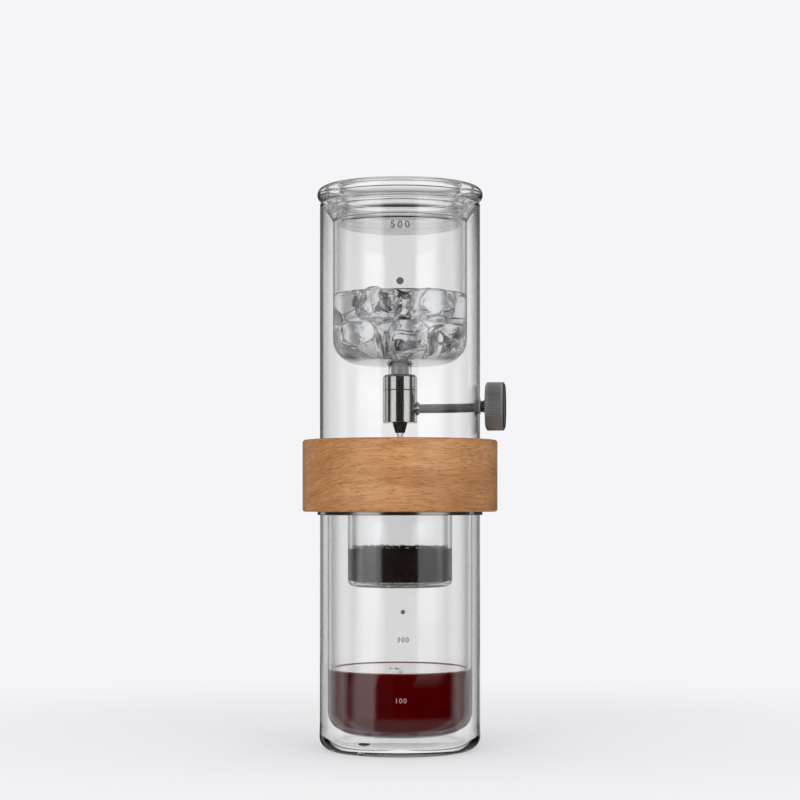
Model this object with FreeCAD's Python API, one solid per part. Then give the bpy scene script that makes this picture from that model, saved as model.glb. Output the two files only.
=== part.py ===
import FreeCAD, Part
import math
import os
from FreeCAD import Vector

# Cold drip coffee tower, in millimetres.
# Z is up, the base stands on Z = 0, and the tower's axis is the Z axis.
# From the bottom up: server, collar, dripper, upper vessel with its valve, lid.
# The valve's stem points along +X.

# Shared clearances
fit_gap = 0.05             # between pieces that are pressed or screwed together
running_gap = 0.05         # radial play of a turning or sliding shaft
contents_gap = 0.3         # between a filling and the glass that holds it
soft_edge = 1 / 3          # share of a wall's thickness that a softened edge takes

# Outer tube, the same for the server and for the upper vessel
tube_outer_r = 48.0
tube_wall = 2.0

# Server
server_height = 159.2
server_inner_wall = 2.0
server_wall_gap = 2.5      # between the server's two walls
server_base = 3.5
server_void = 6.0
server_inner_floor = 2.2
server_rim = 3.2
server_corner_r = 8.0
server_bowl_r = 12.0
foot_swell = 0.5
foot_swell_height = 16.0
coffee_depth = 37.3

# Vent in the server's base and its plug
vent_r = 2.5
vent_inset = 14.0          # from the tube's outside
vent_angle = 238.0
plug_recess = 0.4
plug_head_r = 3.4
plug_head_height = 1.2

# Collar
ring_wall = 7.85
ring_height = 42.9
ring_edge_r = 1.6
lower_socket_depth = 18.6
liner_wall = 2.15
liner_top_recess = 0.7
lip_wall = 1.15
lip_drop = 2.0
socket_clearance = 0.35
shelf_thickness = 3.0
shelf_clearance = 0.7
server_gasket_height = 1.8
server_gasket_width = 5.0

# Dripper
dripper_outer_r = 31.3
dripper_wall = 2.3
dripper_floor = 2.2
dripper_depth = 67.7
dripper_corner_r = 4.0
flange_thickness = 2.5
flange_fillet_r = 0.6
seal_lip = 1.2
seal_grip = 3.1
seal_clearance = 0.45
drain_r = 1.3
drain_circle_r = 9.0
drain_count = 6

# Filter and grounds in the dripper
filter_rim_height = 1.6
filter_rim_width = 2.2
filter_rim_lip = 0.9
filter_disc_height = 0.5
filter_rim_clearance = 0.2
filter_hole_r = 0.6
filter_hole_pitch = 3.8
filter_hole_rings = 6
filter_holes_added = 6     # by each ring, over the ring inside it
grounds_depth = 19.8

# Upper vessel
upper_height = 158.3
skirt_height = 63.4
vessel_wall = 2.0
vessel_wall_gap = 5.7      # between the vessel and the tube
vessel_floor = 2.7
vessel_corner_r = 14.0
flare_drop = 11.6
flare_soften_r = 4.0
flare_skew = 0.67          # how far the outer skin's flare lies from the inner skin's, in height
rim_width = 2.8
neck_outer_r = 6.9
neck_wall = 1.5
neck_length = 12.5
neck_fillet_r = 2.4
water_depth = 37.0

# Outlet seal and strainer
seal_flange_r = 8.5
seal_flange_height = 1.55
nipple_r = 2.55
nipple_bore_r = 1.6
nipple_above_flange = 2.4
strainer_r = 5.0
strainer_roof = 1.2
strainer_slot_width = 0.9
strainer_slot_height = 1.0
strainer_slot_count = 3    # each cut right across the nut
strainer_edge_r = 0.8

# Valve
valve_r = 10.3
valve_gap_under_vessel = 7.0
valve_cap_height = 9.2
valve_cap_chamfer = 1.4
valve_cap_web = 1.4
neck_socket_depth = 5.7
valve_body_height = 19.3
spigot_r = 7.95
spigot_height = 1.5
pool_r = 7.0
pool_depth = 0.8
valve_gasket_height = 0.55
joint_edge_r = 0.3
stem_height_in_body = 8.5
outlet_bore_r = 1.4
nozzle_height = 5.9
nozzle_top_r = 4.65
nozzle_tip_r = 2.8
nozzle_bore_r = 1.0
nozzle_spigot_r = 2.6
nozzle_spigot_height = 2.5
drop_r = 1.9
drop_nose_r = 1.05
drop_nose_edge_r = 0.95
drop_length = 3.4

# Needle, seat and the passages they close, measured along +X from the valve's axis
seat_inner_x = 1.6
seat_length = 2.4
seat_r = 2.2
orifice_r = 0.9
pocket_length = 2.6
pocket_half = 2.25
inlet_offset = 5.3
inlet_r = 1.2
needle_tip_r = 0.35
needle_half_angle = 14.0
needle_r = 1.2
needle_closed_play = 0.12
needle_rest_opening = 0.4
needle_key_thickness = 1.0
needle_key_height = 2.4
needle_key_play = 0.1
needle_key_closed_gap = 0.15
needle_tail = 7.5
needle_open_travel = 1.0

# Stem and its gland
stem_r = 2.7
stem_nose = 1.0
stem_collar_r = 3.9
stem_collar_thickness = 0.8
stem_bore_spare = 0.6
gland_bore_r = 4.25
gland_proud = 0.4
o_ring_section_r = 0.52
o_ring_play = 0.06

# Hole and grommet where the stem passes the outer tube
grommet_wall = 1.25
grommet_flange_r = 5.4
grommet_flange_thickness = 0.7
grommet_lip_r = 4.6
grommet_lip_thickness = 0.3

# Knob
knob_r = 14.45
knob_length = 11.6
knob_face_r = 13.0
knob_back_chamfer = 1.1
knob_front_chamfer = 0.8
knob_edge_r = 0.4
knob_gap_from_tube = 3.5
knob_skin = 3.4
collar_gap = 0.3
collar_small_r = 3.2
collar_large_r = 4.4

# Lid
lid_overhang = 1.6
lid_brim = 9.3
lid_wall = 2.4
lid_plug_depth = 13.3
lid_plug_clearance = 0.5
lid_plug_taper = 1.1
lid_plug_corner_r = 1.8
lid_shoulder_width = 4.0
lid_shoulder_drop = 1.8
lid_seat_play = 0.2
lid_mouth_r = 2.6

# Ice: each layer has a ring of lumps about one lump in the middle
ice_length_share = 22 / 38.3  # of the radius of the vessel's bore
ice_width_share = 20 / 38.3
ice_height = 17.0
ice_edge_r = 6.5
ice_ring_clearance = 2.9
ice_ring_count = 5
ice_layer_count = 2
ice_layer_gap = 2.4
ice_floor_gap = 2.0
ice_middle_scale = 0.78
ice_middle_lift = 5.4
ice_layer_turn = 33.0
ice_turn_step = 41.0
ice_tilt = 9.0

# Heights and radii that follow from the sizes above
tube_inner_r = tube_outer_r - tube_wall
server_void_r = tube_inner_r - server_wall_gap
server_bore_r = server_void_r - server_inner_wall
vent_offset = tube_outer_r - vent_inset
server_bowl_under = server_base + server_void
server_floor_z = server_bowl_under + server_inner_floor
coffee_top_z = server_floor_z + coffee_depth

shelf_under_z = server_height + server_gasket_height
shelf_top_z = shelf_under_z + shelf_thickness
shelf_bore_r = dripper_outer_r + shelf_clearance
socket_r = tube_outer_r + socket_clearance
liner_outer_r = socket_r + liner_wall
ring_bottom_z = shelf_under_z - lower_socket_depth
ring_top_z = ring_bottom_z + ring_height
ring_bore_r = liner_outer_r + fit_gap
ring_outer_r = ring_bore_r + ring_wall

flange_under_z = shelf_top_z + seal_lip
flange_top_z = flange_under_z + flange_thickness
seal_outer_r = socket_r - seal_clearance
flange_r = seal_outer_r - seal_lip
seal_inner_r = flange_r - seal_grip
dripper_bore_r = dripper_outer_r - dripper_wall
dripper_bottom_z = flange_under_z - dripper_depth
dripper_floor_z = dripper_bottom_z + dripper_floor

filter_outer_r = dripper_bore_r - filter_rim_clearance
filter_rim_z = dripper_floor_z + fit_gap
filter_disc_z = filter_rim_z + (filter_rim_height - filter_disc_height) / 2
filter_disc_r = filter_outer_r - filter_rim_lip
grounds_z = filter_rim_z + filter_rim_height + fit_gap

upper_bottom_z = flange_top_z + seal_lip
upper_rim_z = upper_bottom_z + upper_height
vessel_under_z = upper_bottom_z + skirt_height
vessel_floor_z = vessel_under_z + vessel_floor
vessel_outer_r = tube_inner_r - vessel_wall_gap
vessel_bore_r = vessel_outer_r - vessel_wall
water_top_z = vessel_floor_z + water_depth
neck_bore_r = neck_outer_r - neck_wall
neck_end_z = vessel_under_z - neck_length
strainer_z = vessel_floor_z + seal_flange_height + 2 * fit_gap
nipple_top_z = strainer_z + nipple_above_flange

valve_top_z = vessel_under_z - valve_gap_under_vessel
cap_bottom_z = valve_top_z - valve_cap_height
neck_socket_z = valve_top_z - neck_socket_depth
cap_web_z = neck_socket_z - valve_cap_web
body_top_z = cap_bottom_z - fit_gap
body_bottom_z = body_top_z - valve_body_height
spigot_top_z = body_top_z + spigot_height
stem_z = body_bottom_z + stem_height_in_body

seat_face_x = seat_inner_x + seat_length
pocket_end_x = seat_face_x + pocket_length
needle_slope = math.tan(math.radians(needle_half_angle))
needle_tip_x = (
    seat_face_x - (orifice_r - needle_tip_r) / needle_slope + needle_closed_play + needle_rest_opening
)
needle_key_x = seat_face_x + needle_key_closed_gap + needle_rest_opening
needle_shoulder_x = needle_tip_x + (needle_r - needle_tip_r) / needle_slope
needle_end_x = needle_shoulder_x + needle_tail
stem_start_x = pocket_end_x + 2 * fit_gap
o_ring_x = stem_start_x + o_ring_section_r + fit_gap
stem_collar_x = stem_start_x + stem_nose + 2 * fit_gap
stem_collar_end_x = stem_collar_x + stem_collar_thickness
stem_bore_end_x = needle_end_x + needle_open_travel + stem_bore_spare
stem_bore_r = stem_r + running_gap
knob_x = tube_outer_r + knob_gap_from_tube
knob_end_x = knob_x + knob_length
stem_end_x = knob_end_x - knob_skin
grommet_outer_r = stem_bore_r + grommet_wall
stem_hole_r = grommet_outer_r + fit_gap

lid_r = tube_outer_r + lid_overhang
brim_round_r = lid_brim / 2
rim_round_r = rim_width / 2
brim_centre_r = lid_r - brim_round_r
rim_centre_r = tube_outer_r - rim_round_r
rim_centre_z = upper_rim_z - rim_round_r
lid_reach = brim_round_r + rim_round_r + lid_seat_play
brim_centre_z = rim_centre_z + math.sqrt(lid_reach**2 - (rim_centre_r - brim_centre_r) ** 2)
brim_under_z = brim_centre_z - brim_round_r
lid_top_z = brim_centre_z + brim_round_r
plug_bottom_z = upper_rim_z - lid_plug_depth
plug_bottom_r = vessel_bore_r - lid_plug_clearance
plug_top_r = plug_bottom_r + lid_plug_taper

ice_length = vessel_bore_r * ice_length_share
ice_width = vessel_bore_r * ice_width_share


# Shape helpers


def corner_arc(before, corner, after, radius):
    """Start, middle and end of the tangent arc that rounds one corner."""
    to_before = (before - corner).normalize()
    to_after = (after - corner).normalize()
    half_angle = to_before.getAngle(to_after) / 2
    reach = radius / math.tan(half_angle)
    inward = (to_before + to_after).normalize()
    middle = corner + inward * (radius / math.sin(half_angle) - radius)
    return corner + to_before * reach, middle, corner + to_after * reach


def profile_face(corners):
    """Flat face in the XZ plane through (radius from the axis, height, corner radius) corners."""
    points = [Vector(r, 0, z) for r, z, _ in corners]
    arcs = []
    for i, (_, _, rounding) in enumerate(corners):
        following = points[(i + 1) % len(points)]
        arcs.append(corner_arc(points[i - 1], points[i], following, rounding))
    edges = []
    shortest = 1e-6
    for i, (start, middle, end) in enumerate(arcs):
        reached = arcs[i - 1][2]
        if reached.distanceToPoint(start) > shortest:
            edges.append(Part.LineSegment(reached, start).toShape())
        if start.distanceToPoint(end) > shortest:
            edges.append(Part.Arc(start, middle, end).toShape())
    return Part.Face(Part.Wire(edges))


def turned(corners):
    """Solid turned about the Z axis from a profile's corners."""
    solid = profile_face(corners).revolve(Vector(0, 0, 0), Vector(0, 0, 1), 360)
    if solid.Volume < 0:
        solid.reverse()
    return solid


def laid_along_x(shape):
    """Lays a piece made about the Z axis along the stem's axis, its +Z towards +X."""
    laid = shape.copy()
    laid.rotate(Vector(0, 0, 0), Vector(0, 1, 0), 90)
    laid.translate(Vector(0, 0, stem_z))
    return laid


def drill_up(radius, low, high, x=0.0, y=0.0):
    """Upright cylinder that cuts a hole."""
    return Part.makeCylinder(radius, high - low, Vector(x, y, low))


def drill_along_x(radius, start, end):
    """Cylinder along the stem's axis that cuts a hole."""
    return Part.makeCylinder(radius, end - start, Vector(start, 0, stem_z), Vector(1, 0, 0))


def on_circle(radius, degrees):
    """Point at an angle on a circle about the tower's axis."""
    angle = math.radians(degrees)
    return radius * math.cos(angle), radius * math.sin(angle)


# Server


def server_glass():
    """Double-walled glass: outer tube and inner bowl fused at the rim, a void between, a vent below."""
    rim_edge_r = server_rim / 2
    void_top_z = server_height - server_rim
    void_edge_r = (tube_inner_r - server_void_r) / 2
    outside = turned([
        (0, 0, 0),
        (tube_outer_r + foot_swell, 0, server_corner_r),
        (tube_outer_r, foot_swell_height, tube_outer_r),
        (tube_outer_r, server_height, rim_edge_r),
        (server_bore_r, server_height, rim_edge_r),
        (server_bore_r, server_floor_z, server_bowl_r),
        (0, server_floor_z, 0),
    ])
    void = turned([
        (0, server_base, 0),
        (tube_inner_r, server_base, server_corner_r - tube_wall),
        (tube_inner_r, void_top_z, void_edge_r),
        (server_void_r, void_top_z, void_edge_r),
        (server_void_r, server_bowl_under, server_bowl_r + server_inner_wall),
        (0, server_bowl_under, 0),
    ])
    x, y = on_circle(vent_offset, vent_angle)
    vent = drill_up(vent_r, -server_base, server_base + server_void / 2, x, y)
    return outside.cut([void, vent])


def server_vent_plug():
    """Soft plug in the vent, its head inside the void."""
    shank_r = vent_r - fit_gap
    head_z = server_base + fit_gap
    plug = turned([
        (0, plug_recess, 0),
        (shank_r, plug_recess, plug_recess),
        (shank_r, head_z, 0),
        (plug_head_r, head_z, 0),
        (plug_head_r, head_z + plug_head_height, plug_head_height / 2),
        (0, head_z + plug_head_height, 0),
    ])
    x, y = on_circle(vent_offset, vent_angle)
    plug.translate(Vector(x, y, 0))
    return plug


def brewed_coffee():
    """Coffee in the server's bowl."""
    bottom = server_floor_z + contents_gap
    radius = server_bore_r - contents_gap
    return turned([
        (0, bottom, 0),
        (radius, bottom, server_bowl_r - contents_gap),
        (radius, coffee_top_z, 0),
        (0, coffee_top_z, 0),
    ])


# Collar


def collar_liner():
    """Turned steel sleeve with a socket above and below its shelf, and a lip under the wood."""
    lip_r = socket_r + lip_wall
    lip_z = ring_bottom_z - lip_drop
    step_z = ring_bottom_z + ring_edge_r / 2
    liner_top_z = ring_top_z - liner_top_recess
    shelf_edge_r = shelf_clearance / 2
    return turned([
        (socket_r, lip_z, 0),
        (lip_r, lip_z, lip_wall * soft_edge),
        (lip_r, step_z, 0),
        (liner_outer_r, step_z, 0),
        (liner_outer_r, liner_top_z, 0),
        (socket_r, liner_top_z, liner_wall * soft_edge),
        (socket_r, shelf_top_z, shelf_edge_r),
        (shelf_bore_r, shelf_top_z, shelf_edge_r),
        (shelf_bore_r, shelf_under_z, shelf_edge_r),
        (socket_r, shelf_under_z, 0),
    ])


def wood_ring():
    """Wooden ring round the liner, with softened edges."""
    inner_edge_r = ring_edge_r / 2
    return turned([
        (ring_bore_r, ring_bottom_z, inner_edge_r),
        (ring_outer_r, ring_bottom_z, ring_edge_r),
        (ring_outer_r, ring_top_z, ring_edge_r),
        (ring_bore_r, ring_top_z, inner_edge_r),
    ])


def server_gasket():
    """Flat soft ring under the shelf, which the server's rim meets."""
    outer_r = socket_r - fit_gap
    inner_r = outer_r - server_gasket_width
    return turned([
        (inner_r, server_height, 0),
        (outer_r, server_height, 0),
        (outer_r, shelf_under_z, 0),
        (inner_r, shelf_under_z, 0),
    ])


# Dripper


def dripper_glass():
    """Glass cup with a flange round its mouth and drain holes in its floor."""
    cup = turned([
        (0, dripper_bottom_z, 0),
        (dripper_outer_r, dripper_bottom_z, dripper_corner_r),
        (dripper_outer_r, flange_under_z, flange_fillet_r),
        (flange_r, flange_under_z, flange_thickness * soft_edge),
        (flange_r, flange_top_z, flange_thickness * soft_edge),
        (dripper_bore_r, flange_top_z, flange_thickness / 2),
        (dripper_bore_r, dripper_floor_z, dripper_corner_r - dripper_wall),
        (0, dripper_floor_z, 0),
    ])
    drains = [drill_up(drain_r, dripper_bottom_z - drain_r, dripper_floor_z + drain_r)]
    for i in range(drain_count):
        x, y = on_circle(drain_circle_r, i * 360 / drain_count)
        drains.append(drill_up(drain_r, dripper_bottom_z - drain_r, dripper_floor_z + drain_r, x, y))
    return cup.cut(drains)


def dripper_gasket():
    """Soft ring of U section round the flange: it beds on the shelf and carries the upper vessel."""
    groove_r = flange_r + fit_gap
    return turned([
        (seal_inner_r, shelf_top_z, 0),
        (seal_outer_r, shelf_top_z, seal_lip / 2),
        (seal_outer_r, upper_bottom_z, seal_lip / 2),
        (seal_inner_r, upper_bottom_z, 0),
        (seal_inner_r, flange_top_z + fit_gap, 0),
        (groove_r, flange_top_z + fit_gap, 0),
        (groove_r, flange_under_z - fit_gap, 0),
        (seal_inner_r, flange_under_z - fit_gap, 0),
    ])


def filter_rim():
    """Soft ring that holds the filter disc's edge."""
    top_z = filter_rim_z + filter_rim_height
    inner_r = filter_outer_r - filter_rim_width
    slot_r = filter_disc_r + fit_gap
    return turned([
        (inner_r, filter_rim_z, 0),
        (filter_outer_r, filter_rim_z, dripper_corner_r - dripper_wall - filter_rim_clearance),
        (filter_outer_r, top_z, 0),
        (inner_r, top_z, 0),
        (inner_r, filter_disc_z + filter_disc_height + fit_gap, 0),
        (slot_r, filter_disc_z + filter_disc_height + fit_gap, 0),
        (slot_r, filter_disc_z - fit_gap, 0),
        (inner_r, filter_disc_z - fit_gap, 0),
    ])


def filter_disc():
    """Thin steel disc with rings of holes."""
    axis = Vector(0, 0, 1)
    outline = Part.Wire(Part.makeCircle(filter_disc_r, Vector(0, 0, filter_disc_z), axis))
    holes = [Part.Wire(Part.makeCircle(filter_hole_r, Vector(0, 0, filter_disc_z), axis))]
    for ring in range(1, filter_hole_rings + 1):
        in_ring = filter_holes_added * ring
        for i in range(in_ring):
            x, y = on_circle(ring * filter_hole_pitch, i * 360 / in_ring)
            holes.append(Part.Wire(Part.makeCircle(filter_hole_r, Vector(x, y, filter_disc_z), axis)))
    return Part.Face([outline] + holes, "Part::FaceMakerBullseye").extrude(axis * filter_disc_height)


def coffee_grounds():
    """Bed of wet grounds on the filter."""
    radius = dripper_bore_r - contents_gap
    disc_top_z = filter_disc_z + filter_disc_height + contents_gap
    inside_rim_r = filter_outer_r - filter_rim_width - contents_gap
    top_z = grounds_z + grounds_depth
    return turned([
        (0, disc_top_z, 0),
        (inside_rim_r, disc_top_z, 0),
        (inside_rim_r, grounds_z, 0),
        (radius, grounds_z, 0),
        (radius, top_z, 0),
        (0, top_z, 0),
    ])


# Upper vessel


def upper_glass():
    """Outer tube and inner vessel fused at the rim, open below, with the outlet neck and the stem's hole."""
    end_r = tube_wall / 2 - fit_gap
    rim_inner_r = tube_outer_r - rim_width
    flare_z = upper_rim_z - flare_drop
    flare_top_z = upper_rim_z - rim_round_r
    glass = turned([
        (tube_inner_r, upper_bottom_z, end_r),
        (tube_outer_r, upper_bottom_z, end_r),
        (tube_outer_r, upper_rim_z, rim_round_r),
        (rim_inner_r, upper_rim_z, rim_round_r),
        (rim_inner_r, flare_top_z - fit_gap, 0),
        (vessel_bore_r, flare_z, flare_soften_r),
        (vessel_bore_r, vessel_floor_z, vessel_corner_r - vessel_wall),
        (neck_bore_r, vessel_floor_z, neck_wall / 2),
        (neck_bore_r, neck_end_z, neck_wall * soft_edge),
        (neck_outer_r, neck_end_z, neck_wall * soft_edge),
        (neck_outer_r, vessel_under_z, neck_fillet_r),
        (vessel_outer_r, vessel_under_z, vessel_corner_r),
        (vessel_outer_r, flare_z + flare_skew, flare_soften_r),
        (tube_inner_r, flare_top_z - flare_skew, tube_wall * soft_edge),
    ])
    return glass.cut(drill_along_x(stem_hole_r, vessel_bore_r, tube_outer_r + tube_wall))


def vessel_inside(gap, top_z):
    """Solid that fills the inner vessel up to a height, clear of the glass and of the outlet's parts."""
    bottom = vessel_floor_z + gap
    fill = turned([
        (0, bottom, 0),
        (vessel_bore_r - gap, bottom, vessel_corner_r - vessel_wall - gap),
        (vessel_bore_r - gap, top_z, 0),
        (0, top_z, 0),
    ])
    outlet_top_z = strainer_top_z() + gap
    outlet = turned([
        (0, vessel_under_z, 0),
        (seal_flange_r + gap, vessel_under_z, 0),
        (seal_flange_r + gap, strainer_z + gap, 0),
        (strainer_r + gap, strainer_z + gap, 0),
        (strainer_r + gap, outlet_top_z, 0),
        (0, outlet_top_z, 0),
    ])
    return fill.cut(outlet)


def ice_places():
    """Centre, turn, tilt and scale of each lump of ice."""
    ring_r = vessel_bore_r - ice_ring_clearance - ice_length / 2
    places = []
    for layer in range(ice_layer_count):
        lift = ice_floor_gap + ice_height / 2 + layer * (ice_height + ice_layer_gap)
        height = vessel_floor_z + lift
        for i in range(ice_ring_count):
            degrees = i * 360 / ice_ring_count + layer * ice_layer_turn
            x, y = on_circle(ring_r, degrees)
            tilt = ice_tilt * math.cos(math.radians(i * 360 / ice_ring_count))
            places.append((Vector(x, y, height), degrees + i * ice_turn_step, tilt, 1.0))
        middle = Vector(0, 0, height + ice_middle_lift / (layer + 1))
        places.append((middle, ice_turn_step * (layer + 1), ice_tilt, ice_middle_scale))
    return places


def ice_lump(centre, turn, tilt, scale, grown):
    """One rounded lump, tilted and turned. Grown makes it larger all round."""
    length, width, height = [scale * size + 2 * grown for size in (ice_length, ice_width, ice_height)]
    lump = Part.makeBox(length, width, height, Vector(-length / 2, -width / 2, -height / 2))
    lump = lump.makeFillet(scale * ice_edge_r + grown, lump.Edges)
    lump.rotate(Vector(0, 0, 0), Vector(1, 0, 0), tilt)
    lump.rotate(Vector(0, 0, 0), Vector(0, 0, 1), turn)
    lump.translate(centre)
    return lump


def ice_cubes():
    """All the lumps of ice, as separate solids."""
    return Part.makeCompound([ice_lump(*place, 0.0) for place in ice_places()])


def steeping_water():
    """Water round the ice, up to its level."""
    water = vessel_inside(contents_gap, water_top_z)
    return water.cut([ice_lump(*place, contents_gap) for place in ice_places()])


def outlet_seal():
    """Soft sleeve that fills the neck round the nipple, with a flange on the vessel's floor."""
    flange_z = vessel_floor_z + fit_gap
    inner_r = nipple_r + fit_gap
    outer_r = neck_bore_r - fit_gap
    top_z = flange_z + seal_flange_height
    return turned([
        (inner_r, neck_socket_z + fit_gap, 0),
        (outer_r, neck_socket_z + fit_gap, 0),
        (outer_r, flange_z, 0),
        (seal_flange_r, flange_z, 0),
        (seal_flange_r, top_z, seal_flange_height * soft_edge),
        (inner_r, top_z, 0),
    ])


def strainer_top_z():
    """Height of the strainer's top."""
    return nipple_top_z + strainer_slot_height + strainer_roof


def inlet_strainer():
    """Round nut on the nipple that clamps the seal, with slots above the nipple's mouth."""
    bore_r = nipple_r + fit_gap
    slot_z = nipple_top_z + fit_gap
    roof_z = slot_z + strainer_slot_height
    nut = turned([
        (bore_r, strainer_z, 0),
        (strainer_r, strainer_z, strainer_edge_r / 2),
        (strainer_r, strainer_top_z(), strainer_edge_r),
        (0, strainer_top_z(), 0),
        (0, roof_z, 0),
        (bore_r, roof_z, 0),
    ])
    slot_reach = strainer_r + strainer_roof
    slots = []
    for i in range(strainer_slot_count):
        slot = Part.makeBox(
            2 * slot_reach, strainer_slot_width, strainer_slot_height,
            Vector(-slot_reach, -strainer_slot_width / 2, slot_z),
        )
        slot.rotate(Vector(0, 0, 0), Vector(0, 0, 1), i * 180 / strainer_slot_count)
        slots.append(slot)
    return nut.cut(slots)


# Valve


def valve_cap():
    """Upper half of the valve: a socket for the glass neck, and the nipple that passes up through it."""
    spigot_socket_r = spigot_r + fit_gap
    chamfer = valve_cap_chamfer
    return turned([
        (nipple_bore_r, cap_web_z, 0),
        (spigot_socket_r, cap_web_z, 0),
        (spigot_socket_r, cap_bottom_z, 0),
        (valve_r, cap_bottom_z, joint_edge_r),
        (valve_r, valve_top_z - chamfer, 0),
        (valve_r - chamfer, valve_top_z, 0),
        (neck_outer_r + 2 * fit_gap, valve_top_z, 0),
        (neck_outer_r + 2 * fit_gap, neck_socket_z, 0),
        (nipple_r, neck_socket_z, 0),
        (nipple_r, nipple_top_z, 0),
        (nipple_bore_r, nipple_top_z, 0),
    ])


def valve_gasket():
    """Flat soft ring between the body's spigot and the cap's web."""
    return turned([
        (nipple_bore_r, spigot_top_z, 0),
        (spigot_r, spigot_top_z, 0),
        (spigot_r, spigot_top_z + valve_gasket_height, 0),
        (nipple_bore_r, spigot_top_z + valve_gasket_height, 0),
    ])


def valve_body():
    """Lower half of the valve, drilled for the inlet, the needle's pocket, the seat and the outlet."""
    body = turned([
        (0, body_bottom_z, 0),
        (valve_r, body_bottom_z, joint_edge_r),
        (valve_r, body_top_z, joint_edge_r),
        (spigot_r, body_top_z, 0),
        (spigot_r, spigot_top_z, 0),
        (pool_r, spigot_top_z, 0),
        (pool_r, spigot_top_z - pool_depth, 0),
        (0, spigot_top_z - pool_depth, 0),
    ])
    socket_top_z = body_bottom_z + nozzle_spigot_height + 2 * fit_gap
    pocket = Part.makeBox(
        pocket_length, 2 * pocket_half, 2 * pocket_half,
        Vector(seat_face_x, -pocket_half, stem_z - pocket_half),
    )
    return body.cut([
        drill_up(nozzle_spigot_r + fit_gap, body_bottom_z - nozzle_height, socket_top_z),
        drill_up(outlet_bore_r, body_bottom_z, stem_z + outlet_bore_r),
        drill_along_x(orifice_r, 0, seat_inner_x),
        drill_along_x(seat_r, seat_inner_x, seat_face_x),
        pocket,
        drill_along_x(gland_bore_r, pocket_end_x, 2 * valve_r),
        drill_up(inlet_r, stem_z, spigot_top_z, inlet_offset),
    ])


def valve_seat():
    """Soft bush with the orifice that the needle closes."""
    outer_r = seat_r - fit_gap
    return laid_along_x(turned([
        (orifice_r, seat_inner_x, 0),
        (outer_r, seat_inner_x, 0),
        (outer_r, seat_face_x, 0),
        (orifice_r, seat_face_x, 0),
    ]))


def valve_nozzle():
    """Cone that forms the drop, with a spigot in the body's underside."""
    top_z = body_bottom_z - fit_gap
    tip_z = top_z - nozzle_height
    return turned([
        (nozzle_bore_r, tip_z, 0),
        (nozzle_tip_r, tip_z, joint_edge_r),
        (nozzle_top_r, top_z, 0),
        (nozzle_spigot_r, top_z, 0),
        (nozzle_spigot_r, top_z + nozzle_spigot_height, 0),
        (nozzle_bore_r, top_z + nozzle_spigot_height, 0),
    ])


def water_drop():
    """Drop that hangs at the nozzle's tip."""
    top_z = body_bottom_z - nozzle_height - 2 * fit_gap
    return turned([
        (0, top_z - drop_length, 0),
        (drop_nose_r, top_z - drop_length, drop_nose_edge_r),
        (drop_r, top_z, 0),
        (0, top_z, 0),
    ])


def valve_needle():
    """Needle with a cone that meets the seat, a flat key against turning and a threaded tail."""
    needle = laid_along_x(turned([
        (0, needle_tip_x, 0),
        (needle_tip_r, needle_tip_x, 0),
        (needle_r, needle_shoulder_x, 0),
        (needle_r, needle_end_x, 0),
        (0, needle_end_x, 0),
    ]))
    key_half = pocket_half - needle_key_play
    key = Part.makeBox(
        needle_key_thickness, 2 * key_half, needle_key_height,
        Vector(needle_key_x, -key_half, stem_z - needle_key_height / 2),
    )
    return needle.fuse(key).removeSplitter()


def valve_stem():
    """Long rod that turns in the body, bored for the needle's tail, with a thrust collar."""
    bore_r = needle_r + running_gap
    return laid_along_x(turned([
        (bore_r, stem_start_x, 0),
        (stem_r, stem_start_x, 0),
        (stem_r, stem_collar_x, 0),
        (stem_collar_r, stem_collar_x, 0),
        (stem_collar_r, stem_collar_end_x, 0),
        (stem_r, stem_collar_end_x, 0),
        (stem_r, stem_end_x, 0),
        (0, stem_end_x, 0),
        (0, stem_bore_end_x, 0),
        (bore_r, stem_bore_end_x, 0),
    ]))


def stem_o_ring():
    """Ring that seals the stem in the body."""
    major_r = stem_r + o_ring_play + o_ring_section_r
    ring = Part.makeTorus(major_r, o_ring_section_r, Vector(0, 0, o_ring_x), Vector(0, 0, 1))
    return laid_along_x(ring)


def gland_bush():
    """Bush that keeps the stem's collar in the body."""
    start_x = stem_collar_end_x + fit_gap
    end_x = valve_r + gland_proud
    return laid_along_x(turned([
        (stem_bore_r, start_x, 0),
        (gland_bore_r - fit_gap, start_x, 0),
        (gland_bore_r - fit_gap, end_x, joint_edge_r),
        (stem_bore_r, end_x, 0),
    ]))


def stem_grommet():
    """Soft bush in the outer tube's hole, with a flange inside the tube and a lip outside."""
    flange_x = math.sqrt(tube_inner_r**2 - grommet_flange_r**2) - fit_gap
    lip_x = tube_outer_r + fit_gap
    return laid_along_x(turned([
        (stem_bore_r, flange_x - grommet_flange_thickness, 0),
        (grommet_flange_r, flange_x - grommet_flange_thickness, grommet_flange_thickness / 2),
        (grommet_flange_r, flange_x, 0),
        (grommet_outer_r, flange_x, 0),
        (grommet_outer_r, lip_x, 0),
        (grommet_lip_r, lip_x, 0),
        (grommet_lip_r, lip_x + grommet_lip_thickness, grommet_lip_thickness / 2),
        (stem_bore_r, lip_x + grommet_lip_thickness, 0),
    ]))


# Knob


def knob_collar():
    """Cone nut that locks the knob on the stem."""
    start_x = tube_outer_r + fit_gap + grommet_lip_thickness + collar_gap
    end_x = knob_x - fit_gap
    bore_r = stem_r + fit_gap
    return laid_along_x(turned([
        (bore_r, start_x, 0),
        (collar_small_r, start_x, 0),
        (collar_large_r, end_x, 0),
        (bore_r, end_x, 0),
    ]))


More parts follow.
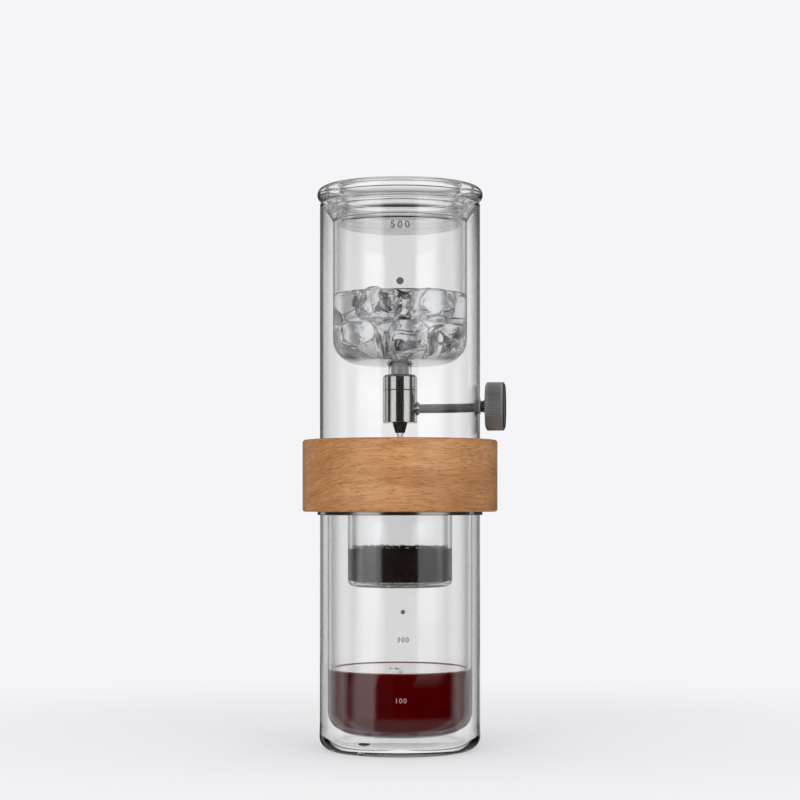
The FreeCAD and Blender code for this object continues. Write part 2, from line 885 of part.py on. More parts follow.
def valve_knob():
    """Round knob with chamfered ends, bored from behind for the stem."""
    bore_r = stem_r + fit_gap
    bore_end_x = stem_end_x + fit_gap
    return laid_along_x(turned([
        (bore_r, knob_x, 0),
        (knob_face_r, knob_x, knob_edge_r),
        (knob_r, knob_x + knob_back_chamfer, knob_edge_r),
        (knob_r, knob_end_x - knob_front_chamfer, knob_edge_r),
        (knob_face_r, knob_end_x, knob_edge_r),
        (0, knob_end_x, 0),
        (0, bore_end_x, 0),
        (bore_r, bore_end_x, 0),
    ]))


# Lid


def lid_glass():
    """Pressed glass lid: a rounded brim on the vessel's rim, and a hollow plug inside it."""
    mouth_r = plug_top_r - lid_wall
    recess_floor_z = plug_bottom_z + lid_wall
    recess_r = plug_bottom_r - lid_wall
    shoulder_z = brim_under_z - lid_shoulder_drop
    return turned([
        (0, plug_bottom_z, 0),
        (plug_bottom_r, plug_bottom_z, lid_plug_corner_r),
        (plug_top_r, shoulder_z, lid_shoulder_drop / 2),
        (plug_top_r + lid_shoulder_width, brim_under_z, lid_shoulder_drop),
        (lid_r, brim_under_z, brim_round_r),
        (lid_r, lid_top_z, brim_round_r),
        (mouth_r, lid_top_z, lid_mouth_r),
        (recess_r, recess_floor_z, lid_plug_corner_r),
        (0, recess_floor_z, 0),
    ])


# Output

pieces = {
    "server_glass": server_glass,
    "server_vent_plug": server_vent_plug,
    "brewed_coffee": brewed_coffee,
    "server_gasket": server_gasket,
    "collar_liner": collar_liner,
    "wood_ring": wood_ring,
    "dripper_glass": dripper_glass,
    "dripper_gasket": dripper_gasket,
    "filter_rim": filter_rim,
    "filter_disc": filter_disc,
    "coffee_grounds": coffee_grounds,
    "upper_glass": upper_glass,
    "steeping_water": steeping_water,
    "ice_cubes": ice_cubes,
    "outlet_seal": outlet_seal,
    "inlet_strainer": inlet_strainer,
    "valve_cap": valve_cap,
    "valve_gasket": valve_gasket,
    "valve_body": valve_body,
    "valve_seat": valve_seat,
    "valve_nozzle": valve_nozzle,
    "water_drop": water_drop,
    "stem_o_ring": stem_o_ring,
    "gland_bush": gland_bush,
    "stem_grommet": stem_grommet,
    "valve_needle": valve_needle,
    "valve_stem": valve_stem,
    "knob_collar": knob_collar,
    "valve_knob": valve_knob,
    "lid_glass": lid_glass,
}

os.makedirs("parts", exist_ok=True)
for node, make in pieces.items():
    make().exportStep(f"parts/{node}.step")
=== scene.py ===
import math
import random

import bmesh
import bpy
from mathutils import Matrix, Vector, noise
from mathutils.bvhtree import BVHTree


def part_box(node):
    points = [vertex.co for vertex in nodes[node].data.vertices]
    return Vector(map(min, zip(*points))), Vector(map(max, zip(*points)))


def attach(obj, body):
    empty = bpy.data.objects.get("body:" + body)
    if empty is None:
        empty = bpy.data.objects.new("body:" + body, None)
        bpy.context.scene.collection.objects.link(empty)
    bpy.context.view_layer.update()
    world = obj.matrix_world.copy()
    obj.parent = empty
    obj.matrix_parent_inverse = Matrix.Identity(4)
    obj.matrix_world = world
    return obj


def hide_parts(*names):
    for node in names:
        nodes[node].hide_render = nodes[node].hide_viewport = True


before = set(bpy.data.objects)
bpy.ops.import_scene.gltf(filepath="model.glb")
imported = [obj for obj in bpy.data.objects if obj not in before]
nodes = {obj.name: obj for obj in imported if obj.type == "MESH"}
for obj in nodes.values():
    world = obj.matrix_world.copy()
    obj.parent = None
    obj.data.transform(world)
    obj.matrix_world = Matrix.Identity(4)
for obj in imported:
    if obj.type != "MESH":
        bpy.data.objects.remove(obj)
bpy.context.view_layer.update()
scene = bpy.context.scene

# Sizes are in metres. Angles are in degrees, from the -Y side towards +X.
mm = 0.001
full_turn = 2 * math.pi


def low(node):
    """Lowest corner of a CAD node."""
    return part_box(node)[0]


def high(node):
    """Highest corner of a CAD node."""
    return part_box(node)[1]


def outer_r(node):
    """Outer radius of a CAD node that is turned about the tower's axis."""
    return high(node).y


# Outer tube of the server and of the upper vessel
tube_r = outer_r("upper_glass")
wall = 2.0 * mm

# Server
server_top = high("server_glass").z
server_bore_r = 41.5 * mm
server_base = 3.5 * mm
server_void = 6.0 * mm
server_inner_floor = 2.2 * mm
server_rim = 3.2 * mm
server_corner_r = 8.0 * mm
server_bowl_r = 12.0 * mm
foot_swell = 0.5 * mm
foot_swell_height = 16.0 * mm
bowl_floor_z = server_base + server_void + server_inner_floor
coffee_drop = 0.8 * mm
coffee_level_z = high("brewed_coffee").z - coffee_drop
vent_r = 2.5 * mm

# Collar
ring_low = low("wood_ring")
ring_high = high("wood_ring")
ring_r = outer_r("wood_ring")
liner_r = outer_r("collar_liner")

# Dripper
dripper_r = 31.3 * mm
dripper_wall = 2.3 * mm
dripper_bottom_z = low("dripper_glass").z
dripper_floor_z = dripper_bottom_z + 2.2 * mm
dripper_corner_r = 4.0 * mm
flange_r = outer_r("dripper_glass")
flange_top_z = high("dripper_glass").z
flange_thickness = 2.5 * mm
grounds_top_z = high("coffee_grounds").z
drain_r = 1.3 * mm
drain_circle_r = 9.0 * mm
drain_count = 6

# Upper vessel
upper_low_z = low("upper_glass").z
upper_top_z = high("upper_glass").z
vessel_r = 38.3 * mm
vessel_floor_z = 235.0 * mm
vessel_floor = 2.7 * mm
vessel_corner_r = 14.0 * mm
vessel_under_z = vessel_floor_z - vessel_floor
flare_z = upper_top_z - 11.6 * mm
flare_skew = 0.67 * mm
flare_soften_r = 4.0 * mm
rim_width = 2.8 * mm
neck_r = 6.9 * mm
neck_wall = 1.5 * mm
neck_end_z = vessel_under_z - 12.5 * mm
neck_fillet_r = 2.4 * mm
water_top_z = 272.0 * mm

# Valve
valve_r = outer_r("valve_body")
valve_joint_z = low("valve_cap").z
valve_top_z = 225.3 * mm
stem_z = (low("stem_o_ring").z + high("stem_o_ring").z) / 2
stem_r = 2.7 * mm
nozzle_low_z = low("valve_nozzle").z
drop_low_z = low("water_drop").z
grommet_hole_r = 4.05 * mm

# Knob
knob_low_x = low("valve_knob").x
knob_high_x = high("valve_knob").x
knob_r = outer_r("valve_knob")
collar_low_x = low("knob_collar").x

# Lid
lid_r = outer_r("lid_glass")
lid_top_z = high("lid_glass").z
lid_low_z = low("lid_glass").z
lid_brim = 9.3 * mm
lid_wall = 2.4 * mm
lid_plug_r = 37.8 * mm
lid_plug_taper = 1.1 * mm
lid_corner_r = 1.8 * mm
lid_mouth_r = 2.6 * mm
lid_shoulder_width = 4.0 * mm
lid_shoulder_drop = 1.8 * mm

# How far a liquid reaches into the glass that holds it, so that no air shows between them
wetting = 0.08 * mm

# Camera, at the photograph's viewing angle
camera_turn = 6.0
camera_distance = 1.233
camera_height = 0.147
camera_lens = 92.5
camera_shift = 0.13


# Shape helpers


def corner_points(before, corner, after, radius, steps):
    """Points along the tangent arc that rounds one corner of a profile."""
    if radius <= 0:
        return [corner]
    to_before = (before - corner).normalized()
    to_after = (after - corner).normalized()
    half_angle = to_before.angle(to_after) / 2
    reach = radius / math.tan(half_angle)
    centre = corner + (to_before + to_after).normalized() * radius / math.sin(half_angle)
    start = corner + to_before * reach - centre
    end = corner + to_after * reach - centre
    sweep = start.angle_signed(end)
    points = []
    for i in range(steps + 1):
        angle = -sweep * i / steps
        turned = Vector((
            start.x * math.cos(angle) - start.y * math.sin(angle),
            start.x * math.sin(angle) + start.y * math.cos(angle),
        ))
        points.append(centre + turned)
    return points


def profile(corners, steps=8):
    """Closed list of (radius, height) points from (radius, height, corner radius) corners."""
    flat = [Vector((r, z)) for r, z, _ in corners]
    points = []
    for i, (_, _, radius) in enumerate(corners):
        points += corner_points(flat[i - 1], flat[i], flat[(i + 1) % len(flat)], radius, steps)
    return points


def add_turned(shape, points, turns, radius_at=None):
    """Adds the surface turned from a closed profile to a bmesh. radius_at may change the radius."""
    on_axis = 1e-7
    rings = []
    for point in points:
        if point.x < on_axis:
            rings.append([shape.verts.new((0, 0, point.y))])
            continue
        ring = []
        for i in range(turns):
            angle = full_turn * i / turns
            r = radius_at(point, angle) if radius_at else point.x
            ring.append(shape.verts.new((r * math.cos(angle), r * math.sin(angle), point.y)))
        rings.append(ring)
    for ring, following in zip(rings, rings[1:] + rings[:1]):
        for i in range(turns):
            k = (i + 1) % turns
            if len(ring) > 1 and len(following) > 1:
                shape.faces.new((ring[i], ring[k], following[k], following[i]))
            elif len(following) > 1:
                shape.faces.new((ring[0], following[k], following[i]))
            elif len(ring) > 1:
                shape.faces.new((ring[i], ring[k], following[0]))


def mesh_of(shape, name):
    """Mesh made from a bmesh, which is freed."""
    mesh = bpy.data.meshes.new(name)
    shape.to_mesh(mesh)
    shape.free()
    return mesh


def add_object(name, data):
    """New object in the scene."""
    made = bpy.data.objects.new(name, data)
    scene.collection.objects.link(made)
    return made


def shade(mesh, sharp):
    """Smooth shading, with edges over an angle in degrees kept sharp."""
    mesh.shade_smooth()
    mesh.set_sharp_from_angle(angle=math.radians(sharp))


def finish_mesh(name, shape, body, sharp=35.0):
    """Turns a bmesh into a smooth-shaded piece that rides on a body."""
    mesh = mesh_of(shape, name)
    shade(mesh, sharp)
    piece = add_object(name, mesh)
    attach(piece, body)
    return piece


def turned_piece(name, body, corner_lists, turns=160, steps=8, sharp=35.0, along_x=False, radius_at=None):
    """Piece turned from one or more closed profiles, upright or laid along the stem's axis."""
    shape = bmesh.new()
    for corners in corner_lists:
        part = bmesh.new()
        add_turned(part, profile(corners, steps), turns, radius_at)
        bmesh.ops.recalc_face_normals(part, faces=part.faces)
        if corners is not corner_lists[0]:
            bmesh.ops.reverse_faces(part, faces=part.faces)
        mesh = mesh_of(part, "profile")
        shape.from_mesh(mesh)
        bpy.data.meshes.remove(mesh)
    if along_x:
        lay = Matrix.Translation((0, 0, stem_z)) @ Matrix.Rotation(math.pi / 2, 4, "Y")
        bmesh.ops.transform(shape, matrix=lay, verts=shape.verts)
    return finish_mesh(name, shape, body, sharp)


def cylinder_tool(radius, start, end):
    """Closed cylinder between two points, used to cut a hole."""
    axis = Vector(end) - Vector(start)
    shape = bmesh.new()
    turn = axis.to_track_quat("Z", "Y").to_matrix().to_4x4()
    place = Matrix.Translation((Vector(start) + Vector(end)) / 2) @ turn
    bmesh.ops.create_cone(
        shape, cap_ends=True, segments=48, radius1=radius, radius2=radius, depth=axis.length, matrix=place,
    )
    return add_object("tool", mesh_of(shape, "tool"))


def evaluated_mesh(holder):
    """Mesh of an object with its modifiers and text worked out."""
    bpy.context.view_layer.update()
    return bpy.data.meshes.new_from_object(holder.evaluated_get(bpy.context.evaluated_depsgraph_get()))


def cut(piece, tools, sharp=35.0):
    """Cuts the tools out of a piece and keeps its smooth shading."""
    for tool in tools:
        modifier = piece.modifiers.new("hole", "BOOLEAN")
        modifier.object = tool
        modifier.solver = "EXACT"
    mesh = evaluated_mesh(piece)
    piece.modifiers.clear()
    piece.data = mesh
    shade(mesh, sharp)
    for tool in tools:
        bpy.data.objects.remove(tool)


def on_circle(radius, degrees):
    """Point on a circle about the axis, at an angle from +X."""
    angle = math.radians(degrees)
    return radius * math.cos(angle), radius * math.sin(angle)


def round_axis(radius, angle, height):
    """Point at a radius, an angle in radians from +X and a height."""
    return Vector((radius * math.cos(angle), radius * math.sin(angle), height))


# Material helpers


def new_material(name):
    """Empty node material with its output."""
    material = bpy.data.materials.new(name)
    material.use_nodes = True
    tree = material.node_tree
    tree.nodes.clear()
    output = tree.nodes.new("ShaderNodeOutputMaterial")
    return material, tree, output


def node(tree, kind, **settings):
    """New shader node with its own settings and input values."""
    made = tree.nodes.new("ShaderNode" + kind)
    for key, value in settings.items():
        if hasattr(made, key):
            setattr(made, key, value)
        else:
            made.inputs[key.replace("_", " ")].default_value = value
    return made


def grey(level):
    """Colour with the same value in each channel."""
    return level, level, level


def ramp(tree, factor, stops):
    """Colour ramp through (position, colour) stops."""
    made = tree.nodes.new("ShaderNodeValToRGB")
    elements = made.color_ramp.elements
    while len(elements) < len(stops):
        elements.new(0.5)
    for element, (position, colour) in zip(elements, stops):
        element.position = position
        element.color = (*colour, 1)
    tree.links.new(factor, made.inputs[0])
    return made.outputs[0]


def math_node(tree, operation, *values):
    """Math node whose inputs are sockets or numbers."""
    made = tree.nodes.new("ShaderNodeMath")
    made.operation = operation
    for socket, value in zip(made.inputs, values):
        if isinstance(value, (int, float)):
            socket.default_value = value
        else:
            tree.links.new(value, socket)
    return made.outputs[0]


def limited(tree, value, least=0.0):
    """Value kept between a least value and 1."""
    return math_node(tree, "MAXIMUM", math_node(tree, "MINIMUM", value, 1.0), least)


def mixed(tree, factor, first, second, blend="MIX"):
    """Colour mixed from two others. Each of the three is a socket or a plain value."""
    made = node(tree, "Mix", data_type="RGBA", blend_type=blend)
    for name, value in (("Factor", factor), ("A", first), ("B", second)):
        if isinstance(value, (float, tuple)):
            made.inputs[name].default_value = value
        else:
            tree.links.new(value, made.inputs[name])
    return made.outputs["Result"]


def stretched(tree, scale, turn=(0, 0, 0)):
    """Object coordinates turned, then scaled along each axis."""
    where = tree.nodes.new("ShaderNodeTexCoord")
    mapping = tree.nodes.new("ShaderNodeMapping")
    mapping.inputs["Rotation"].default_value = [math.radians(angle) for angle in turn]
    mapping.inputs["Scale"].default_value = scale
    tree.links.new(where.outputs["Object"], mapping.inputs[0])
    return mapping.outputs[0]


def noise_at(tree, where, scale, detail=2.0, roughness=0.5, distortion=0.0):
    """Noise value at a coordinate."""
    made = node(tree, "TexNoise", Scale=scale, Detail=detail, Roughness=roughness, Distortion=distortion)
    tree.links.new(where, made.inputs["Vector"])
    return made.outputs[0]


def bump(tree, height, strength, distance):
    """Normal from a height."""
    made = node(tree, "Bump", Strength=strength, Distance=distance)
    tree.links.new(height, made.inputs["Height"])
    return made.outputs[0]


def principled(tree, output, **settings):
    """Principled shader wired to the output."""
    made = node(tree, "BsdfPrincipled", **settings)
    tree.links.new(made.outputs[0], output.inputs["Surface"])
    return made


def let_lamps_through(tree, output, shader):
    """Glass that lamps reach through: rays from lamps see a clear stand-in."""
    path = tree.nodes.new("ShaderNodeLightPath")
    clear = tree.nodes.new("ShaderNodeBsdfTransparent")
    mix = tree.nodes.new("ShaderNodeMixShader")
    tree.links.new(path.outputs["Is Shadow Ray"], mix.inputs[0])
    tree.links.new(shader.outputs[0], mix.inputs[1])
    tree.links.new(clear.outputs[0], mix.inputs[2])
    tree.links.new(mix.outputs[0], output.inputs["Surface"])


def painted_edge_shade(tree, shader, face, edge, sharpness):
    """Painted shade: a tint that deepens to dark towards the silhouette, standing in for the dark edges that
    glass shows.
    """
    facing = node(tree, "LayerWeight", Blend=0.5)
    steep = math_node(tree, "POWER", facing.outputs["Facing"], sharpness)
    colour = ramp(tree, steep, [(0.0, face), (1.0, edge)])
    tree.links.new(colour, shader.inputs["Base Color"])


# Materials


def clear_glass(name, sharpness):
    """Clear glass with faint drawn streaks and painted dark edges. A lower sharpness gives broader painted
    dark edges.
    """
    material, tree, output = new_material(name)
    shader = principled(tree, output, Transmission_Weight=1.0, IOR=1.47, Roughness=0.0)
    # Painted shade: the colour darkens to near black at the silhouette.
    painted_edge_shade(tree, shader, (0.985, 0.985, 0.988), (0.02, 0.02, 0.022), sharpness)
    streaks = noise_at(tree, stretched(tree, (60, 60, 6)), 1.0, 1.0)
    tree.links.new(bump(tree, streaks, 0.04, 0.0006), shader.inputs["Normal"])
    let_lamps_through(tree, output, shader)
    return material


def water():
    """Clear water."""
    material, tree, output = new_material("water")
    shader = principled(tree, output, Transmission_Weight=1.0, IOR=1.333, Roughness=0.0)
    # Painted shade: the colour greys towards the silhouette.
    painted_edge_shade(tree, shader, (0.985, 0.99, 0.99), (0.55, 0.56, 0.57), 4.0)
    ripple = noise_at(tree, stretched(tree, (90, 90, 20)), 1.0, 1.0)
    tree.links.new(bump(tree, ripple, 0.05, 0.0008), shader.inputs["Normal"])
    let_lamps_through(tree, output, shader)
    return material


def ice():
    """Wet ice with cloudy veins."""
    material, tree, output = new_material("ice")
    shader = principled(tree, output, Transmission_Weight=1.0, IOR=1.31)
    # Painted shade: the colour greys towards the silhouette.
    painted_edge_shade(tree, shader, (0.98, 0.985, 0.99), (0.5, 0.51, 0.53), 2.5)
    veins = noise_at(tree, stretched(tree, (110, 110, 90)), 1.0, 4.0, 0.6, 1.2)
    rough = ramp(tree, veins, [(0.45, grey(0.0)), (0.75, grey(0.16))])
    tree.links.new(rough, shader.inputs["Roughness"])
    tree.links.new(bump(tree, veins, 0.12, 0.0008), shader.inputs["Normal"])
    let_lamps_through(tree, output, shader)
    return material


def coffee_body():
    """Deep red-brown liquid."""
    material, tree, output = new_material("coffee_body")
    shader = principled(tree, output, Roughness=0.06, IOR=1.333)
    depth = noise_at(tree, stretched(tree, (14, 14, 22)), 1.0, 2.0, 0.5, 0.4)
    colour = ramp(tree, depth, [(0.3, (0.08, 0.0003, 0.0012)), (0.7, (0.15, 0.0008, 0.002))])
    tree.links.new(colour, shader.inputs["Base Color"])
    return material


def coffee_top():
    """Still surface of the coffee, which mirrors the pale surroundings."""
    material, tree, output = new_material("coffee_top")
    shader = principled(
        tree, output, Roughness=0.02, IOR=1.9, Coat_Weight=1.0, Coat_IOR=1.9, Coat_Roughness=0.01,
    )
    swirl = noise_at(tree, stretched(tree, (40, 40, 40)), 1.0, 3.0, 0.5, 1.5)
    colour = ramp(tree, swirl, [(0.35, (0.2, 0.07, 0.035)), (0.7, (0.42, 0.2, 0.11))])
    tree.links.new(colour, shader.inputs["Base Color"])
    return material


def foam():
    """Tan foam of small bubbles."""
    material, tree, output = new_material("foam")
    shader = principled(tree, output, Roughness=0.25, Coat_Weight=0.6, Coat_Roughness=0.05)
    cells = node(tree, "TexVoronoi", Scale=900.0)
    tree.links.new(stretched(tree, (1, 1, 1)), cells.inputs["Vector"])
    colour = ramp(tree, cells.outputs["Distance"], [(0.1, (0.82, 0.68, 0.54)), (0.6, (0.4, 0.25, 0.15))])
    tree.links.new(colour, shader.inputs["Base Color"])
    tree.links.new(bump(tree, cells.outputs["Distance"], 0.6, 0.0003), shader.inputs["Normal"])
    return material


def wet_grounds():
    """Near-black wet coffee grounds."""
    material, tree, output = new_material("wet_grounds")
    shader = principled(tree, output, IOR=1.36)
    grains = noise_at(tree, stretched(tree, (1, 1, 1)), 2200.0, 3.0, 0.7)
    colour = ramp(tree, grains, [(0.35, (0.0035, 0.001, 0.001)), (0.8, (0.02, 0.009, 0.006))])
    rough = ramp(tree, grains, [(0.3, grey(0.12)), (0.7, grey(0.42))])
    tree.links.new(colour, shader.inputs["Base Color"])
    tree.links.new(rough, shader.inputs["Roughness"])
    tree.links.new(bump(tree, grains, 0.35, 0.0004), shader.inputs["Normal"])
    return material


def grain_coordinate(tree, along, across):
    """Coordinate whose level lines wave gently round the ring and slope on its left side."""
    bend = 5.2
    bend_from = -0.008
    wave_height = 0.005
    where = tree.nodes.new("ShaderNodeTexCoord")
    split = tree.nodes.new("ShaderNodeSeparateXYZ")
    tree.links.new(where.outputs["Object"], split.inputs[0])
    x, y, z = split.outputs
    left = math_node(tree, "MINIMUM", math_node(tree, "SUBTRACT", x, bend_from), 0.0)
    wave = math_node(tree, "SUBTRACT", noise_at(tree, stretched(tree, (26, 26, 40)), 1.0, 2.0), 0.5)
    height = math_node(tree, "MULTIPLY_ADD", math_node(tree, "MULTIPLY", left, left), bend, z)
    height = math_node(tree, "MULTIPLY_ADD", wave, wave_height, height)
    join = tree.nodes.new("ShaderNodeCombineXYZ")
    for socket, value, scale in zip(join.inputs, (x, y, height), (along, along, across)):
        tree.links.new(math_node(tree, "MULTIPLY", value, float(scale)), socket)
    return join.outputs[0]


def wood():
    """Oiled pale hardwood: fine fibres run level round the ring, with short dark pores."""
    material, tree, output = new_material("wood")
    shader = principled(tree, output, Coat_Weight=0.15, Coat_Roughness=0.3)
    fibres = noise_at(tree, grain_coordinate(tree, 95, 1250), 1.0, 4.0, 0.6)
    figure = noise_at(tree, grain_coordinate(tree, 14, 70), 1.0, 2.0, 0.5)
    pores = noise_at(tree, grain_coordinate(tree, 230, 2300), 1.0, 2.0, 0.6)
    half_fibres = math_node(tree, "MULTIPLY", fibres, 0.5)
    half_figure = math_node(tree, "MULTIPLY", figure, 0.5)
    tone = math_node(tree, "ADD", half_fibres, half_figure)
    colour = ramp(tree, tone, [
        (0.34, (0.31, 0.125, 0.037)), (0.5, (0.43, 0.2, 0.07)), (0.66, (0.56, 0.3, 0.125)),
    ])
    dark = ramp(tree, pores, [(0.37, (0.66, 0.6, 0.55)), (0.46, grey(1.0))])
    tree.links.new(mixed(tree, 1.0, colour, dark, "MULTIPLY"), shader.inputs["Base Color"])
    rough = ramp(tree, fibres, [(0.3, grey(0.48)), (0.7, grey(0.34))])
    tree.links.new(rough, shader.inputs["Roughness"])
    tree.links.new(bump(tree, math_node(tree, "ADD", fibres, pores), 0.14, 0.0002), shader.inputs["Normal"])
    return material


def steel(name, colour, roughness, grain):
    """Turned steel with fine marks. grain gives their scale along each axis."""
    material, tree, output = new_material(name)
    shader = principled(tree, output, Metallic=1.0)
    marks = noise_at(tree, stretched(tree, grain), 1.0, 3.0, 0.6)
    tint = ramp(tree, marks, [(0.3, [c * 0.86 for c in colour]), (0.7, colour)])
    rough = ramp(tree, marks, [(0.3, grey(roughness * 0.7)), (0.75, grey(roughness * 1.5))])
    tree.links.new(tint, shader.inputs["Base Color"])
    tree.links.new(rough, shader.inputs["Roughness"])
    tree.links.new(bump(tree, marks, 0.03, 0.0001), shader.inputs["Normal"])
    return material


def soft_polymer(name, colour, roughness, mottle):
    """Matt rubber or silicone with a fine mottle."""
    material, tree, output = new_material(name)
    shader = principled(tree, output, Subsurface_Weight=0.15)
    shader.inputs["Subsurface Radius"].default_value = (0.001, 0.001, 0.001)
    spots = noise_at(tree, stretched(tree, (1, 1, 1)), mottle, 4.0, 0.65)
    tint = ramp(tree, spots, [(0.3, [c * 0.72 for c in colour]), (0.7, colour)])
    rough = ramp(tree, spots, [(0.3, grey(roughness * 0.85)), (0.7, grey(min(1.0, roughness * 1.15)))])
    tree.links.new(tint, shader.inputs["Base Color"])
    tree.links.new(rough, shader.inputs["Roughness"])
    tree.links.new(bump(tree, spots, 0.1, 0.0002), shader.inputs["Normal"])
    return material


def ink(name, colour):
    """Fired mark on glass."""
    material, tree, output = new_material(name)
    shader = principled(tree, output, Roughness=0.5)
    speckle = noise_at(tree, stretched(tree, (1, 1, 1)), 4000.0, 2.0)
    tint = ramp(tree, speckle, [(0.3, [c * 0.8 for c in colour]), (0.7, colour)])
    tree.links.new(tint, shader.inputs["Base Color"])
    return material


tube_glass = clear_glass("tube_glass", 3.4)
pressed_glass = clear_glass("pressed_glass", 2.4)
clear_water = water()
wet_ice = ice()
coffee_liquid = coffee_body()
coffee_mirror = coffee_top()
tan_foam = foam()
grounds_black = wet_grounds()
maple = wood()
valve_steel = steel("valve_steel", (0.58, 0.57, 0.555), 0.1, (900, 900, 60))
stem_steel = steel("stem_steel", grey(0.62), 0.36, (120, 1500, 1500))
liner_steel = steel("liner_steel", (0.42, 0.4, 0.4), 0.16, (60, 60, 2400))
# Steel with a painted reflection: its bronze tint stands in for the warm reflection of the wooden ring.
nozzle_steel_painted_wood_reflection = steel("nozzle_steel_painted_wood_reflection", (0.36, 0.28, 0.22), 0.14, (900, 900, 200))
disc_steel = steel("disc_steel", grey(0.5), 0.3, (700, 700, 700))
knob_metal = steel("knob_metal", (0.55, 0.55, 0.555), 0.46, (300, 2600, 2600))
knob_face_metal = steel("knob_face_metal", (0.22, 0.22, 0.225), 0.34, (900, 900, 900))
pale_silicone = soft_polymer("pale_silicone", (0.62, 0.62, 0.6), 0.55, 900.0)
frosted_seal = soft_polymer("frosted_seal", grey(0.42), 0.45, 1500.0)
dark_rubber = soft_polymer("dark_rubber", grey(0.02), 0.6, 1500.0)
white_polymer = soft_polymer("white_polymer", (0.78, 0.78, 0.76), 0.5, 1500.0)
grey_ink = ink("grey_ink", (0.09, 0.09, 0.095))
pale_ink = ink("pale_ink", (0.36, 0.23, 0.23))
pale_grey_ink = ink("pale_grey_ink", grey(0.38))


def wear(piece, *materials):
    """Gives a piece its materials."""
    piece.data.materials.clear()
    for material in materials:
        piece.data.materials.append(material)


# Server


def make_server():
    """Double-walled glass with a void between its walls and a vent in its base."""
    rim_edge_r = server_rim / 2 * 0.98
    void_r = tube_r - wall
    void_bowl_r = server_bore_r + wall
    void_top = server_top - server_rim
    void_edge_r = (void_r - void_bowl_r) / 2 * 0.98
    outside = [
        (0, 0, 0),
        (tube_r + foot_swell, 0, server_corner_r),
        (tube_r, foot_swell_height, tube_r),
        (tube_r, server_top, rim_edge_r),
        (server_bore_r, server_top, rim_edge_r),
        (server_bore_r, bowl_floor_z, server_bowl_r),
        (0, bowl_floor_z, 0),
    ]
    void = [
        (0, server_base, 0),
        (void_r, server_base, server_corner_r - wall),
        (void_r, void_top, void_edge_r),
        (void_bowl_r, void_top, void_edge_r),
        (void_bowl_r, server_base + server_void, server_bowl_r + wall),
        (0, server_base + server_void, 0),
    ]
    piece = turned_piece("server_double_wall", "server", [outside, void], turns=192, steps=14)
    plug_low, plug_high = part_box("server_vent_plug")
    x = (plug_low.x + plug_high.x) / 2
    y = (plug_low.y + plug_high.y) / 2
    cut(piece, [cylinder_tool(vent_r, (x, y, -server_base), (x, y, server_base + server_void / 2))])
    wear(piece, tube_glass)
    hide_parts("server_glass")


def make_coffee():
    """Coffee that wets the bowl, and its mirror surface, which climbs a little at the glass."""
    radius = server_bore_r + wetting
    skin = 0.3 * mm
    meniscus = 0.5 * mm
    level = coffee_level_z
    body = turned_piece("coffee_in_bowl", "server", [[
        (0, bowl_floor_z - wetting, 0),
        (radius, bowl_floor_z - wetting, server_bowl_r),
        (radius, level - skin / 2, 0),
        (0, level - skin / 2, 0),
    ]], turns=160, steps=14)
    wear(body, coffee_liquid)
    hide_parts("brewed_coffee")
    top = turned_piece("coffee_surface", "server", [[
        (0, level - skin, 0),
        (radius, level - skin, 0),
        (radius, level + meniscus, 0),
        (radius - meniscus, level + meniscus / 4, meniscus),
        (radius - 3 * meniscus, level, meniscus),
        (0, level, 0),
    ]], turns=160, steps=4)
    wear(top, coffee_mirror)


def bead_ring(name, body, material, places, detail=1):
    """Many small round beads in one mesh. Each place is (centre, radius)."""
    shape = bmesh.new()
    for centre, radius in places:
        place = Matrix.Translation(centre)
        bmesh.ops.create_icosphere(shape, subdivisions=detail, radius=radius, matrix=place)
    piece = finish_mesh(name, shape, body, sharp=80.0)
    wear(piece, material)
    return piece


def make_coffee_foam():
    """Line of small bubbles round the coffee's edge, with a few where the drops land."""
    draw = random.Random(5)
    places = []
    edge_count = 260
    middle_count = 9
    sunk_share = 0.4
    for i in range(edge_count):
        angle = full_turn * (i + draw.random()) / edge_count
        radius = draw.uniform(0.18, 0.5) * mm
        r = server_bore_r - radius - draw.random() ** 3 * 1.2 * mm
        places.append((round_axis(r, angle, coffee_level_z + radius * sunk_share), radius))
    for _ in range(middle_count):
        angle = draw.uniform(0, full_turn)
        r = draw.uniform(1, 6) * mm
        radius = draw.uniform(0.15, 0.4) * mm
        places.append((round_axis(r, angle, coffee_level_z + radius * sunk_share), radius))
    piece = bead_ring("coffee_bubbles", "server", tan_foam, places, detail=2)


# Collar


def make_collar():
    """Wooden ring with softened edges over its polished liner."""
    edge_r = 1.6 * mm
    bore_r = liner_r + 0.05 * mm
    ring = turned_piece("maple_ring", "collar", [[
        (bore_r, ring_low.z, edge_r / 2),
        (ring_r, ring_low.z, edge_r),
        (ring_r, ring_high.z, edge_r),
        (bore_r, ring_high.z, edge_r / 2),
    ]], turns=192, steps=6)
    wear(ring, maple)
    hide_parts("wood_ring")
    wear(nodes["collar_liner"], liner_steel)
    wear(nodes["server_gasket"], pale_silicone)


# Dripper


def make_dripper():
    """Glass cup with its flange and drain holes."""
    bore_r = dripper_r - dripper_wall
    flange_low_z = flange_top_z - flange_thickness
    cup = turned_piece("dripper_cup", "dripper", [[
        (0, dripper_bottom_z, 0),
        (dripper_r, dripper_bottom_z, dripper_corner_r),
        (dripper_r, flange_low_z, 0.6 * mm),
        (flange_r, flange_low_z, flange_thickness / 3),
        (flange_r, flange_top_z, flange_thickness / 3),
        (bore_r, flange_top_z, flange_thickness / 2),
        (bore_r, dripper_floor_z, dripper_corner_r - dripper_wall),
        (0, dripper_floor_z, 0),
    ]], turns=160, steps=8)
    places = [(0, 0)] + [on_circle(drain_circle_r, i * 360 / drain_count) for i in range(drain_count)]
    through = 4 * mm
    cut(cup, [
        cylinder_tool(drain_r, (x, y, dripper_bottom_z - through), (x, y, dripper_floor_z + through))
        for x, y in places
    ])
    wear(cup, tube_glass)
    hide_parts("dripper_glass")


